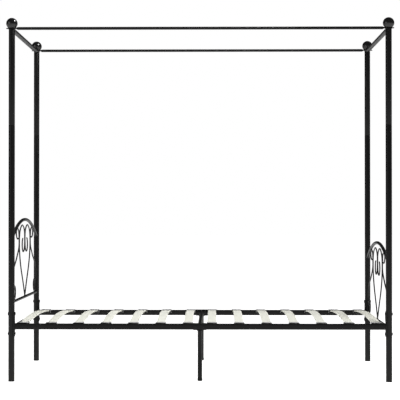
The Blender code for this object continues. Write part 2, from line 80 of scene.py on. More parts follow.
class Socket:
    # An output socket of a shader tree: a sum written with it adds the Math nodes.
    def __init__(self, tree, socket):
        self.tree = tree
        self.socket = socket

    def math(self, operation, *others):
        return self.tree.node("ShaderNodeMath", {"operation": operation}, [self, *others])

    def __add__(self, other):
        return self.math("ADD", other)

    def __sub__(self, other):
        return self.math("SUBTRACT", other)

    def __rsub__(self, other):
        return self.tree.node("ShaderNodeMath", {"operation": "SUBTRACT"}, [other, self])

    def __mul__(self, other):
        return self.math("MULTIPLY", other)

    def __truediv__(self, other):
        return self.math("DIVIDE", other)

    __radd__ = __add__
    __rmul__ = __mul__

    def above(self, edge, width):
        # 0 below the edge, 1 above edge + width, eased between
        return self.tree.node("ShaderNodeMapRange", {"interpolation_type": "SMOOTHSTEP"},
                              {"Value": self, "From Min": edge, "From Max": edge + width})


class Tree:
    # One material's nodes.
    def __init__(self, name, constants):
        self.material = bpy.data.materials.new(name)
        self.material.use_nodes = True
        self.nodes = self.material.node_tree.nodes
        self.links = self.material.node_tree.links
        self.shader = self.nodes["Principled BSDF"]
        self.set(self.shader, constants)

    def set(self, node, values):
        pairs = values.items() if isinstance(values, dict) else enumerate(values)
        for key, value in pairs:
            if isinstance(value, Socket):
                self.links.new(value.socket, node.inputs[key])
            elif value is not None:
                node.inputs[key].default_value = value

    def node(self, kind, settings=None, values=(), output=0):
        node = self.nodes.new(kind)
        for key, value in (settings or {}).items():
            setattr(node, key, value)
        self.set(node, values)
        return Socket(self, node.outputs[output])

    def objectPlace(self, scale=(1, 1, 1)):
        place = self.node("ShaderNodeTexCoord", output="Object")
        return self.node("ShaderNodeMapping", {}, {"Vector": place, "Scale": scale})

    def noise(self, place, scale, detail=3.0, roughness=0.5):
        return self.node("ShaderNodeTexNoise", {}, {"Vector": place, "Scale": scale,
                                                    "Detail": detail, "Roughness": roughness})

    def mixColour(self, share, first, second):
        return self.node("ShaderNodeMix", {"data_type": "RGBA"},
                         {0: share, 6: first, 7: second}, output=2)

    def bump(self, height, strength, distance):
        return self.node("ShaderNodeBump", {},
                         {"Height": height, "Strength": strength, "Distance": distance})

    def finish(self, links):
        self.set(self.shader, links)
        return self.material


def grey(value):
    return (value, value, value, 1.0)


coatingLook = {
    "dark": 0.0040,          # base colour of the powder coat, between these two
    "pale": 0.0065,
    "tubeShine": 0.16,       # specular levels: the balls are glossier than the tubes
    "tubeRoughness": 0.40,
    "ballShine": 0.42,
    "ballRoughness": 0.22,
    "peelScale": 620.0,      # bumps of the orange peel, per metre
    "peelHeight": 0.00003,
    "dust": (0.13, 0.125, 0.115, 1.0),
    "dustShare": 0.06,
    "dustHeight": 0.10,      # dust thins out above this height
}


def blackCoating(name, shine, roughness):
    # satin powder coat: fine orange peel, faint clouds and specks, dust near the floor
    look = coatingLook
    tree = Tree(name, {"Specular IOR Level": shine})
    place = tree.objectPlace()
    peel = tree.noise(place, look["peelScale"], 2.0, 0.45)
    cloud = tree.noise(place, 9.0, 4.0, 0.6)
    speck = tree.noise(place, 2400.0, 0.0)
    height = tree.node("ShaderNodeSeparateXYZ", {}, [place], output=2)
    dust = (1 - height.above(0.0, look["dustHeight"])) * tree.noise(place, 130.0, 3.0, 0.7)
    tone = cloud * 0.7 + speck.above(0.68, 0.08) * 0.5
    colour = tree.mixColour(tone, grey(look["dark"]), grey(look["pale"]))
    colour = tree.mixColour(dust * look["dustShare"], colour, look["dust"])
    rough = roughness + (cloud - 0.5) * 0.10 + (peel - 0.5) * 0.08 + dust * 0.12
    return tree.finish({
        "Base Color": colour,
        "Roughness": rough,
        "Normal": tree.bump(peel, 0.55, look["peelHeight"]),
    })


weldLook = {"dark": 0.005, "pale": 0.010, "shine": 0.18, "roughness": 0.36,
            "lumpScale": 420.0, "lumpHeight": 0.0002}


def weldedCoating():
    # the same coat over a weld bead: rougher, with the ripples showing through
    look = weldLook
    tree = Tree("blackWeldCoat", {"Specular IOR Level": look["shine"]})
    lumps = tree.noise(tree.objectPlace(), look["lumpScale"], 4.0, 0.65)
    return tree.finish({
        "Base Color": tree.mixColour(lumps, grey(look["dark"]), grey(look["pale"])),
        "Roughness": look["roughness"] + lumps * 0.16,
        "Normal": tree.bump(lumps, 0.8, look["lumpHeight"]),
    })


steelLook = {"dark": 0.014, "worn": 0.045, "metal": 0.85, "roughness": 0.30,
             "grainScale": 900.0, "wearScale": 260.0}


def boltSteel():
    # black oxide, rubbed a little paler in patches
    look = steelLook
    tree = Tree("blackenedSteel", {"Metallic": look["metal"], "Specular IOR Level": 0.5})
    place = tree.objectPlace()
    grain = tree.noise(place, look["grainScale"], 3.0, 0.6)
    wear = tree.noise(place, look["wearScale"], 4.0, 0.6).above(0.60, 0.12)
    return tree.finish({
        "Base Color": tree.mixColour(wear * 0.5, grey(look["dark"]), grey(look["worn"])),
        "Roughness": look["roughness"] + grain * 0.18,
        "Normal": tree.bump(grain, 0.4, 0.00004),
    })


# The feet are a grained plastic; the slat holders are a smoother one, with a painted sheen: pale
# grey painted into their colour at glancing angles
plasticLook = {
    "dark": 0.006,
    "pale": 0.011,
    "foot": {"shine": 0.15, "roughness": 0.46, "grainScale": 1500.0},
    "holder": {"shine": 0.3, "roughness": 0.30, "grainScale": 1100.0,
               # painted sheen: the grey painted into the colour at glancing angles, and the facing
               # values over which it comes in
               "paintedSheen": 0.50, "paintedSheenFrom": 0.86, "paintedSheenWidth": 0.05},
}


def blackPlastic():
    look, finish = plasticLook, plasticLook["foot"]
    tree = Tree("blackMouldedPlastic", {"Specular IOR Level": finish["shine"]})
    grain = tree.noise(tree.objectPlace(), finish["grainScale"], 2.0, 0.5)
    flow = tree.noise(tree.objectPlace((1.0, 6.0, 1.0)), 30.0, 3.0, 0.5)
    return tree.finish({
        "Base Color": tree.mixColour(flow, grey(look["dark"]), grey(look["pale"])),
        "Roughness": finish["roughness"] + (grain - 0.5) * 0.14,
        "Normal": tree.bump(grain, 0.6, 0.00005),
    })


def holderPlastic():
    # painted reflection: the colour turns pale grey where the plastic is seen at a glancing angle,
    # in place of the pale room reflected there
    look, finish = plasticLook, plasticLook["holder"]
    tree = Tree("smoothHolderPlastic", {"Specular IOR Level": finish["shine"]})
    grain = tree.noise(tree.objectPlace(), finish["grainScale"], 2.0, 0.5)
    flow = tree.noise(tree.objectPlace((1.0, 5.0, 1.0)), 40.0, 3.0, 0.5)
    glance = tree.node("ShaderNodeLayerWeight", {}, {"Blend": 0.5}, output=1)
    # painted sheen mask: 1 at glancing angles, where the room's reflection would show
    paintedSheen = glance.above(finish["paintedSheenFrom"], finish["paintedSheenWidth"]) * (0.85 + flow * 0.2)
    colour = tree.mixColour(flow, grey(look["dark"]), grey(look["pale"]))
    return tree.finish({
        "Base Color": tree.mixColour(paintedSheen, colour, grey(finish["paintedSheen"])),
        "Roughness": finish["roughness"] + (grain - 0.5) * 0.12,
        "Normal": tree.bump(grain, 0.3, 0.00002),
    })


slatLook = {
    "pale": (0.83, 0.835, 0.765, 1.0),
    "warm": (0.77, 0.765, 0.675, 1.0),
    "grain": (0.62, 0.565, 0.43, 1.0),
    "glue": (0.42, 0.32, 0.20, 1.0),
    "plies": 6,
    "shine": 0.4,
    "roughness": 0.40,
}


def slatPitch():
    return float(middleOf("slat_02")[0] - middleOf("slat_01")[0])


def slatWood():
    # Birch ply: long streaks along the slat, fine pores, and glue lines along the edges.
    # The map "board" holds metres along the slat and the height inside its thickness, 0 to 1.
    look = slatLook
    tree = Tree("paleBirchPly", {"Specular IOR Level": look["shine"]})
    place = tree.objectPlace()
    long = tree.objectPlace((1.0, 0.045, 1.0))
    streaks = tree.noise(long, 190.0, 5.0, 0.62)
    bands = tree.noise(long, 34.0, 3.0, 0.5)
    pores = tree.noise(tree.objectPlace((1.0, 0.10, 1.0)), 1700.0, 2.0, 0.5).above(0.62, 0.10)
    across = tree.node("ShaderNodeSeparateXYZ", {}, [place], output=0)
    whole = (across / slatPitch()).math("FLOOR")        # each slat has a tone of its own
    tone = tree.node("ShaderNodeTexWhiteNoise", {"noise_dimensions": "1D"}, {"W": whole})
    board = tree.node("ShaderNodeUVMap", {"uv_map": "board"})
    depth = tree.node("ShaderNodeSeparateXYZ", {}, [board], output=1)
    ply = (depth * look["plies"]).math("FRACT")
    inside = depth.above(0.06, 0.02) * (1 - depth.above(0.92, 0.02))
    line = (1 - ply.above(0.05, 0.05)) * inside
    colour = tree.mixColour(tone * 0.45 + bands * 0.4, look["pale"], look["warm"])
    colour = tree.mixColour(streaks.above(0.50, 0.30) * 0.30, colour, look["grain"])
    colour = tree.mixColour(pores * 0.22, colour, look["grain"])
    colour = tree.mixColour(line * 0.75, colour, look["glue"])
    return tree.finish({
        "Base Color": colour,
        "Roughness": look["roughness"] + (streaks - 0.5) * 0.16 + pores * 0.12,
        "Normal": tree.bump(streaks - pores * 0.6 - line, 0.35, 0.00012),
    })


coating = blackCoating("blackPowderCoat", coatingLook["tubeShine"], coatingLook["tubeRoughness"])
ballCoating = blackCoating("blackBallCoat", coatingLook["ballShine"], coatingLook["ballRoughness"])
weldCoat = weldedCoating()
steel = boltSteel()
plastic = blackPlastic()
paintedSheenPlastic = holderPlastic()
wood = slatWood()
print("materials made")


def rideRoot(piece, nodes=()):
    # Nothing on the bed moves, so every piece rides on its one body.
    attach(piece, "root")
    if nodes:
        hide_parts(*nodes)


def skins(name, grids, material, sharp=50.0, boardMap=None):
    # Each grid is rows of rings, (rings, points, 3). A face joins points c and c + 1 of
    # rings r and r + 1, closed round the ring, and the two end rings are filled.
    places, faces, start = [], [], 0
    for grid in grids:
        grid = np.asarray(grid, float)
        rings, count, _ = grid.shape
        r, c = np.meshgrid(np.arange(rings - 1), np.arange(count), indexing="ij")
        after = (c + 1) % count
        quads = np.stack([r * count + c, r * count + after,
                          (r + 1) * count + after, (r + 1) * count + c], axis=-1)
        quads = quads.reshape(-1, 4) + start
        first = np.arange(count)[::-1] + start
        last = np.arange(count) + (rings - 1) * count + start
        if volumeOf(grid) < 0:
            quads, first, last = quads[:, ::-1], first[::-1], last[::-1]
        places.append(grid.reshape(-1, 3))
        faces += quads.tolist() + [first.tolist(), last.tolist()]
        start += rings * count
    mesh = bpy.data.meshes.new(name)
    mesh.from_pydata(np.concatenate(places).tolist(), [], faces)
    mesh.materials.append(material)
    mesh.shade_smooth()
    mesh.set_sharp_from_angle(angle=math.radians(sharp))
    if boardMap is not None:
        uv = mesh.uv_layers.new(name="board")
        index = np.empty(len(mesh.loops), np.int32)
        mesh.loops.foreach_get("vertex_index", index)
        uv.data.foreach_set("uv", boardMap[index].astype(np.float32).ravel())
    piece = bpy.data.objects.new(name, mesh)
    bpy.context.scene.collection.objects.link(piece)
    return piece


def volumeOf(grid):
    # Six times the volume inside the rings and their caps, by triple products of the
    # corners: its sign says which way the faces look.
    a, d = grid[:-1], grid[1:]
    b, c = np.roll(a, -1, axis=1), np.roll(d, -1, axis=1)
    total = (a * (np.cross(b, c) + np.cross(c, d))).sum()
    for ring, sign in ((grid[-1], 1.0), (grid[0], -1.0)):
        total += sign * (ring.mean(axis=0) * np.cross(ring, np.roll(ring, -1, axis=0))).sum()
    return float(total)


def circle(radius, count):
    # (radius cos a, radius sin a) at even steps of the angle a
    angle = np.arange(count) * tau / count
    return np.stack([radius * np.cos(angle), radius * np.sin(angle)], axis=1)


def roundedBar(width, height, corner, steps=5):
    # A rectangle less its corners, plus a quarter circle at each corner, anticlockwise.
    quarter = np.repeat(np.arange(4), steps + 1)
    angle = (quarter + np.tile(np.arange(steps + 1) / steps, 4)) * math.pi / 2
    signU = np.where((quarter == 0) | (quarter == 3), 1.0, -1.0)
    signV = np.where(quarter < 2, 1.0, -1.0)
    u = signU * (width / 2 - corner) + corner * np.cos(angle)
    v = signV * (height / 2 - corner) + corner * np.sin(angle)
    return np.stack([u, v], axis=1)


def sweep(path, section, flat=(1.0, 0.0, 0.0), scale=None):
    # A section (u, v) carried along a path: point = path + u first + v second, where
    # second is square to the path and the flat direction, and first to the other two.
    path = np.asarray(path, float)
    tangent = np.gradient(path, axis=0)
    tangent /= np.linalg.norm(tangent, axis=1, keepdims=True)
    flat = np.broadcast_to(np.asarray(flat, float), path.shape)
    second = np.cross(tangent, flat)
    second /= np.linalg.norm(second, axis=1, keepdims=True)
    first = np.cross(second, tangent)
    section = np.broadcast_to(section, (len(path), *np.shape(section)[-2:]))
    if scale is not None:
        section = section * np.asarray(scale, float).reshape(len(path), 1, -1)
    return (path[:, None] + section[..., :1] * first[:, None]
            + section[..., 1:] * second[:, None])


def smoothPath(knots, perSpan):
    # A Hermite cubic between each two knots. A knot's direction is the mean of its two
    # chords, weighed by the other chord's length, and the parameter is the chord length.
    knots = np.asarray(knots, float)
    chord = np.linalg.norm(np.diff(knots, axis=0), axis=1)
    slope = np.diff(knots, axis=0) / chord[:, None]
    before, after = chord[:-1, None], chord[1:, None]
    inner = (slope[:-1] * after + slope[1:] * before) / (before + after)
    tangent = np.concatenate([1.5 * slope[:1] - 0.5 * inner[:1], inner,
                              1.5 * slope[-1:] - 0.5 * inner[-1:]])
    t = (np.arange(perSpan) / perSpan)[None, :, None]
    a, b = knots[:-1, None], knots[1:, None]
    leaveA = tangent[:-1, None] * chord[:, None, None]
    reachB = tangent[1:, None] * chord[:, None, None]
    points = ((2 * t**3 - 3 * t**2 + 1) * a + (t**3 - 2 * t**2 + t) * leaveA
              + (3 * t**2 - 2 * t**3) * b + (t**3 - t**2) * reachB)
    return np.concatenate([points.reshape(-1, 3), knots[-1:]])


def turned(profile, centre, axis="Z", count=64):
    # Rows of (radius, distance) turned about an axis: centre + (radius cos a, radius
    # sin a, distance). A third number in a row draws its ring towards a hexagon, 0 to 1.
    profile = np.asarray(profile, float)
    angle = np.arange(count) * tau / count
    hexagon = math.cos(tau / 12) / np.cos((angle + tau / 12) % (tau / 6) - tau / 12)
    share = profile[:, 2:3] if profile.shape[1] > 2 else np.zeros((len(profile), 1))
    radius = np.maximum(profile[:, :1], 0.00002) * (1 - share + share * hexagon[None])
    across, up = radius * np.cos(angle), radius * np.sin(angle)
    along = np.broadcast_to(profile[:, 1:2], across.shape)
    turns = {"X": (along, across, up), "Y": (up, along, across), "Z": (across, up, along)}
    return np.stack(turns[axis], axis=-1) + np.asarray(centre, float)


def arcProfile(centre, radius, start, end, steps):
    # Centre + (radius cos a, radius sin a), with a in degrees from start to end.
    angle = np.radians(np.linspace(start, end, steps))
    return np.stack([centre[0] + radius * np.cos(angle),
                     centre[1] + radius * np.sin(angle)], axis=1)


def roundedBox(low, high, corner, count=28):
    # A ball of the corner radius, each point pushed out along every axis by the box's
    # half size less that radius: flat faces with round edges.
    low, high = np.asarray(low, float), np.asarray(high, float)
    lat = (np.arange(count) + 0.5) / count * math.pi
    lon = (np.arange(2 * count) + 0.5) / (2 * count) * tau
    ball = np.stack([np.sin(lat)[:, None] * np.cos(lon)[None],
                     np.sin(lat)[:, None] * np.sin(lon)[None],
                     np.broadcast_to(np.cos(lat)[:, None], (count, 2 * count))], axis=-1)
    half = (high - low) / 2 - corner
    return (low + high) / 2 + np.sign(ball) * half + corner * ball


postLook = {"edge": 0.0009, "sides": 72, "jointGap": 0.0003}
footLook = {"height": 0.0042, "round": 0.0014, "proud": 0.0003}
ballLook = {"radius": 0.031, "rings": 48, "sides": 72,
            "seat": 0.0089}    # height of the ball's flat underside over the post


def tubePost(low, high, radius, edge):
    # rows of (radius, height): straight up, both rims broken by a small chamfer
    return np.array([
        (radius - edge, low), (radius - 0.3 * edge, low + 0.3 * edge), (radius, low + edge),
        (radius, (low + high) / 2),
        (radius, high - edge), (radius - 0.3 * edge, high - 0.3 * edge), (radius - edge, high),
    ])


def buildPosts():
    radius, edge, sides = bed["postRadius"], postLook["edge"], postLook["sides"]
    for corner, signX, signY in corners:
        axis = (signX * bed["postX"], signY * bed["postY"], 0.0)
        for part, low, high in (("lower", bed["footZ"], bed["jointZ"]),
                                ("upper", bed["jointZ"] + postLook["jointGap"], bed["topZ"])):
            grid = turned(tubePost(low, high, radius, edge), axis, count=sides)
            piece = skins(f"{part}PostTube_{corner}", [grid], coating, sharp=35.0)
            rideRoot(piece, [f"{part}_post_{corner}"])
        rim, soft, tall = radius + footLook["proud"], footLook["round"], footLook["height"]
        foot = [(0.0, 0.0)]
        foot += arcProfile((rim - soft, soft), soft, -90, 0, 6).tolist()
        foot += [(rim, tall - 0.0004), (rim - 0.0004, tall), (radius - 0.003, tall)]
        piece = skins(f"plasticFoot_{corner}", [turned(foot, axis, count=sides)], plastic)
        rideRoot(piece, [f"foot_cap_{corner}"])


def buildFinials():
    radius, seatZ = ballLook["radius"], bed["topZ"] + ballLook["seat"]
    for corner, signX, signY in corners:
        node = f"finial_{corner}"
        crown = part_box(node)[1][2]
        centreZ = crown - radius
        axis = (signX * bed["postX"], signY * bed["postY"], 0.0)
        end = math.degrees(math.asin((seatZ - centreZ) / radius))
        ball = arcProfile((0.0, centreZ), radius, 90, end, ballLook["rings"]).tolist()
        ball[0] = (0.0, crown)
        ball += [(ball[-1][0] - 0.0008, seatZ - 0.0002), (0.004, seatZ - 0.0002)]
        grid = turned(ball, axis, count=ballLook["sides"])
        piece = skins(f"ballFinial_{corner}", [grid], ballCoating, sharp=60.0)
        rideRoot(piece, [node])


canopyLook = {
    "plate": 0.004,      # thickness of a pressed end
    "rounding": 0.008,   # length over which its tip is rounded
    "points": 48,
    # inwards from the post's axis: flat up to the first distance, round from the second
    "long": {"radius": 0.008, "flat": 0.019, "round": 0.035},
    "short": {"radius": 0.0125, "flat": 0.022, "round": 0.052},
}


def pressedSection(radius, halfHeight, count):
    # A round tube pressed to a half height keeps its girth: two straight runs, each
    # pi (radius - half height) long, joined by half circles. Points are evenly spaced.
    share = 4 * (np.arange(count) + 0.5) / count
    quarter, share = np.floor(share).astype(int), share % 1
    share = np.where(quarter % 2 == 1, 1 - share, share)
    flat = math.pi * (radius - halfHeight) / 2
    walked = share * math.pi * radius / 2
    angle = np.maximum(walked - flat, 0) / halfHeight
    u = np.minimum(walked, flat) + halfHeight * np.sin(angle)
    v = halfHeight * np.cos(angle)
    return np.stack([np.where(quarter < 2, u, -u),
                     np.where((quarter == 0) | (quarter == 3), v, -v)], axis=1)


def pressedTube(centre, postAt, endAt, look, along, flat):
    # Distances from the middle: rounded end, flat plate over the post, a swelling to
    # the round tube eased as 3 t^2 - 2 t^3, then the mirror image.
    radius, half = look["radius"], canopyLook["plate"] / 2
    turn = np.linspace(0, math.pi / 2, 7)
    tip = endAt - (1 - np.cos(turn)) * canopyLook["rounding"]
    width = 0.50 + 0.50 * np.sin(turn)
    t = np.linspace(0, 1, 18)
    swell = postAt - look["flat"] - (look["round"] - look["flat"]) * t
    ease = t * t * (3 - 2 * t)
    place = np.concatenate([tip, swell, [postAt * 0.5]])
    roundness = np.concatenate([np.zeros(7), ease, [1.0]])
    width = np.concatenate([width, np.ones(19)])
    place = np.concatenate([place, -place[::-1]])
    roundness = np.concatenate([roundness, roundness[::-1]])
    width = np.concatenate([width, width[::-1]])
    sections = np.stack([pressedSection(radius, half + (radius - half) * r, canopyLook["points"])
                         for r in roundness])
    sections[..., 0] *= width[:, None]
    path = np.asarray(centre, float) - np.asarray(along, float) * place[:, None]
    return sweep(path, sections, flat=flat)


def buildCanopy():
    for side in ("front", "back"):
        node = f"canopy_rail_{side}"
        tip = float(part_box(node)[1][0])
        grid = pressedTube(middleOf(node), bed["postX"], tip,
                           canopyLook["long"], (1, 0, 0), (0, 1, 0))
        rideRoot(skins(f"canopyLongTube_{side}", [grid], coating), [node])
    for end in ("head", "foot"):
        node = f"canopy_crossbar_{end}"
        tip = float(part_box(node)[1][1])
        grid = pressedTube(middleOf(node), bed["postY"], tip,
                           canopyLook["short"], (0, 1, 0), (1, 0, 0))
        rideRoot(skins(f"canopyCrossTube_{end}", [grid], coating), [node])


panelLook = {
    "rod": 0.00375,      # radius of the bent rods
    "lowTube": 0.008,    # radius of the low rails and the deck crossbar
    "rise": 0.100,       # of the arch, from the posts to its crown
    "sides": 20,
    "weld": 0.0021,      # radius of a weld run
    "sunk": 0.6,         # a tube's end stops this far from the post's axis, in post radii
}

# The rods' routes, as (distance from the middle, height over the low rail's centre)
heartRoute = {
    "outline": [(0.0060, 0.0125), (0.0690, 0.0920), (0.1080, 0.1340), (0.1475, 0.1800),
                (0.1800, 0.2350), (0.2000, 0.3030), (0.1860, 0.3740), (0.1430, 0.4045),
                (0.0920, 0.4160), (0.0450, 0.4040), (0.0170, 0.3840), (0.0064, 0.3660),
                (0.0044, 0.3480), (0.0044, 0.3290), (0.0074, 0.3080), (0.0150, 0.2860),
                (0.0300, 0.2705)],
    "scroll": ((0.0560, 0.3010), 262, 425, 0.0385, 0.0440),
}
sideRoute = {
    "outline": [(0.2420, 0.3440), (0.2540, 0.3400), (0.2710, 0.3410), (0.2880, 0.3490),
                (0.3010, 0.3620), (0.3060, 0.3760), (0.2960, 0.3875), (0.2770, 0.3955),
                (0.2540, 0.3975), (0.2330, 0.3920), (0.2170, 0.3760), (0.2095, 0.3450),
                (0.2085, 0.3030), (0.2270, 0.2790), (0.2600, 0.2570), (0.3050, 0.2270),
                (0.3530, 0.2030), (0.4000, 0.1740), (0.4300, 0.1330), (0.4420, 0.0930),
                (0.4380, 0.0580), (0.4200, 0.0310), (0.3980, 0.0175)],
    "scroll": ((0.3690, 0.0495), -80, -345, 0.0365, 0.0340),
}

# Tack welds: distance from the middle, height over the low rail, and half sizes
tackWelds = [
    (0.0070, 0.0092, (0.0042, 0.0075, 0.0030)),
    (0.2043, 0.3110, (0.0036, 0.0030, 0.0085)),
    (0.3700, 0.0088, (0.0040, 0.0085, 0.0026)),
    (0.2800, 0.4000, (0.0040, 0.0080, 0.0028)),
    (0.4456, 0.0880, (0.0036, 0.0028, 0.0090)),
]
middleTack = (0.3400, (0.0034, 0.0026, 0.0090))    # where the heart's halves meet


def scroll(centre, start, end, startRadius, endRadius, steps=12):
    # A spiral: centre + radius (cos a, sin a), angle and radius both running evenly.
    angle = np.radians(np.linspace(start, end, steps))
    radius = np.linspace(startRadius, endRadius, steps)
    return np.stack([centre[0] + radius * np.cos(angle),
                     centre[1] + radius * np.sin(angle)], axis=1)


def rodGrid(route, x, lowZ):
    # a circle along the smoothed route, its last two rings drawn in to round the ends
    knots = np.column_stack([np.full(len(route), x), route[:, 0], route[:, 1] + lowZ])
    path = smoothPath(knots, 6)
    count = len(path)
    size = np.ones(count)
    size[0] = size[-1] = 0.55
    size[1] = size[-2] = 0.93
    for tip, beside in ((0, 1), (-1, -2)):
        step = path[beside] - path[tip]
        path[beside] = path[tip] + step / np.linalg.norm(step) * 0.0016
    return sweep(path, circle(panelLook["rod"], panelLook["sides"]), scale=size)


def weldRing(x, signY, z, tube):
    # A rippled run where a tube along Y meets a post. The seam lies on both round
    # surfaces: its depth is the post's place less sqrt(post radius^2 - across^2).
    radius = bed["postRadius"]
    t = np.linspace(0, tau, 73)
    across = tube * np.cos(t)
    depth = bed["postY"] - np.sqrt(radius ** 2 - across ** 2)
    path = np.column_stack([x + across, signY * depth, z + tube * np.sin(t)])
    ripple = 1 + 0.16 * np.sin(t * 34) + 0.08 * np.sin(t * 5 + 1)
    outward = np.column_stack([np.cos(t), -signY * np.full(73, 0.6), np.sin(t)])
    return sweep(path, circle(panelLook["weld"], 10), flat=outward, scale=ripple)


def weldDot(centre, sizes, phase=0.0):
    # A tack weld: a ball times its half sizes, its radius rippled by two sines.
    lat = (np.arange(13) + 0.3) / 12.6 * math.pi
    lon = np.arange(20) * tau / 20
    ripple = 1 + 0.07 * np.sin(lat[:, None] * 11 + phase) + 0.05 * np.sin(lon[None] * 3 + phase)
    ball = np.stack([np.sin(lat)[:, None] * np.cos(lon)[None] * ripple,
                     np.sin(lat)[:, None] * np.sin(lon)[None] * ripple,
                     np.cos(lat)[:, None] * np.ones((1, 20))], axis=-1)
    return ball * np.asarray(sizes, float) + np.asarray(centre, float)


def archPath(node):
    # An arc whose bend, its own radius, is (reach^2 + rise^2) / (2 rise):
    # height = crown - bend + sqrt(bend^2 - y^2).
    low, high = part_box(node)
    radius = float(high[0] - low[0]) / 2
    crown = float(high[2]) - radius
    reach = bed["postY"] - bed["postRadius"]
    bend = (reach ** 2 + panelLook["rise"] ** 2) / (2 * panelLook["rise"])
    y = np.linspace(-1, 1, 81) * (bed["postY"] - panelLook["sunk"] * bed["postRadius"])
    z = crown - bend + np.sqrt(bend ** 2 - y ** 2)
    x = np.full(81, float(low[0] + high[0]) / 2)
    return np.column_stack([x, y, z]), radius


def buildPanel(end, lowZ):
    x = float(middleOf(f"{end}_low_rail")[0])
    path, archRadius = archPath(f"{end}_arch")
    arch = sweep(path, circle(archRadius, 48))
    rideRoot(skins(f"{end}ArchTube", [arch], coating), [f"{end}_arch"])
    heart = np.concatenate([heartRoute["outline"], scroll(*heartRoute["scroll"])])
    side = np.concatenate([sideRoute["outline"], scroll(*sideRoute["scroll"])])
    for name, sign in (("front", -1), ("back", 1)):
        for label, route in (("HeartRod", heart), ("SideRod", side)):
            grid = rodGrid(route * (sign, 1), x, lowZ)
            piece = skins(f"{end}{label}_{name}", [grid], coating, sharp=75.0)
            nodes = [f"{end}_scrollwork_{name}"] if label == "HeartRod" else []
            rideRoot(piece, nodes)
    welds = []
    archEndZ = float(np.interp(bed["postY"] - bed["postRadius"], path[40:, 1], path[40:, 2]))
    for sign in (-1, 1):
        welds.append(weldRing(x, sign, archEndZ, archRadius))
        welds.append(weldRing(x, sign, lowZ, panelLook["lowTube"]))
        welds += [weldDot((x, sign * away, lowZ + up), sizes, index * 1.7 + sign)
                  for index, (away, up, sizes) in enumerate(tackWelds)]
    welds.append(weldDot((x, 0.0, lowZ + middleTack[0]), middleTack[1]))
    rideRoot(skins(f"{end}PanelWelds", welds, weldCoat, sharp=80.0))


def straightTube(node, name):
    # a circle along Y, run a little into the posts
    low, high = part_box(node)
    radius = float(high[0] - low[0]) / 2
    centre = middleOf(node)
    y = np.linspace(-1, 1, 9) * (bed["postY"] - panelLook["sunk"] * bed["postRadius"])
    path = np.column_stack([np.full(9, centre[0]), y, np.full(9, centre[2])])
    tube = sweep(path, circle(radius, 48))
    rideRoot(skins(name, [tube], coating), [node])


def buildPanels():
    straightTube("head_low_rail", "headLowTube")
    straightTube("foot_low_rail", "footLowTube")
    straightTube("head_deck_crossbar", "headDeckTube")
    buildPanel("head", bed["headLowZ"])
    buildPanel("foot", bed["footLowZ"])
    x, _, z = middleOf("head_deck_crossbar")
    welds = [weldRing(x, sign, z, panelLook["lowTube"]) for sign in (-1, 1)]
    rideRoot(skins("headDeckWelds", welds, weldCoat, sharp=80.0))


railLook = {
    "width": 0.020, "height": 0.032, "corner": 0.0032,
    "plate": 0.0025,     # thickness of the curved post plate
    "spread": 58.0,      # degrees it reaches round the post to each side
    "gap": 0.0003,       # between it and the post
    "weld": 0.0019,      # radius of the weld run round the rail's end
}
boltLook = {"head": 0.0082, "tall": 0.0034, "socket": 0.0030, "deep": 0.0020}


def buttonHead(scale=1.0):
    # rows of (radius, height, hexagon share): down the socket, over the crown, to the rim
    head, tall = boltLook["head"] * scale, boltLook["tall"] * scale
    socket, deep = boltLook["socket"] * scale, boltLook["deep"] * scale
    t = np.linspace(0, math.pi / 2, 10)
    crown = np.column_stack([
        head * (0.56 + 0.44 * np.sin(t)), tall * (0.22 + 0.78 * np.cos(t)), np.zeros(10)])
    inner = [(0.0, tall - deep * 1.15, 1.0), (socket * 0.96, tall - deep, 1.0),
             (socket, tall - 0.0004, 1.0), (socket * 1.10, tall, 0.6)]
    rim = [(head, 0.0003, 0.0), (head - 0.0003, 0.0, 0.0), (0.0, 0.0, 0.0)]
    return np.concatenate([inner, crown, rim])


def threadedBoss():
    # rows of (radius, height): up the inside of the hole, over the rim, down to the plate
    return np.array([(0.0, 0.0004), (0.0034, 0.0004), (0.0037, 0.0016), (0.0044, 0.0020),
                     (0.0076, 0.0020), (0.0083, 0.0015), (0.0085, 0.0008), (0.0085, -0.0010),
                     (0.0, -0.0010)])


def boltTip():
    # rows of (radius, height): the shank's chamfered end, seen inside the boss
    return np.array([(0.0, 0.0016), (0.0026, 0.0016), (0.0034, 0.0010), (0.0034, -0.0040),
                     (0.0, -0.0040)])


def saddleOutline(signX):
    # A strip between two arcs about the post's axis, over plus and minus the spread,
    # its two ends closed by half circles.
    near = bed["postRadius"] + railLook["gap"]
    far = near + railLook["plate"]
    mean, half = (near + far) / 2, railLook["plate"] / 2
    spread = math.radians(railLook["spread"])
    bend = np.linspace(-spread, spread, 33)
    cap = np.linspace(-90, 90, 7)[1:-1]
    outer = np.column_stack([far * np.cos(bend), far * np.sin(bend)])
    inner = np.column_stack([near * np.cos(bend[::-1]), near * np.sin(bend[::-1])])
    ends = []
    for turn, flip in ((spread, 1), (-spread, -1)):
        centre = mean * np.array([math.cos(turn), math.sin(turn)])
        outwards = np.array([math.cos(turn), math.sin(turn)])
        along = np.array([-math.sin(turn), math.cos(turn)]) * flip
        reach = np.cos(np.radians(cap))[:, None] * half * along
        lift = np.sin(np.radians(cap[::-1]))[:, None] * half * outwards * flip
        ends.append(centre + reach + lift)
    outline = np.concatenate([outer, ends[0], inner, ends[1]])
    outline[:, 0] *= -signX
    return outline


def railSection():
    return roundedBar(railLook["width"], railLook["height"], railLook["corner"], 6)


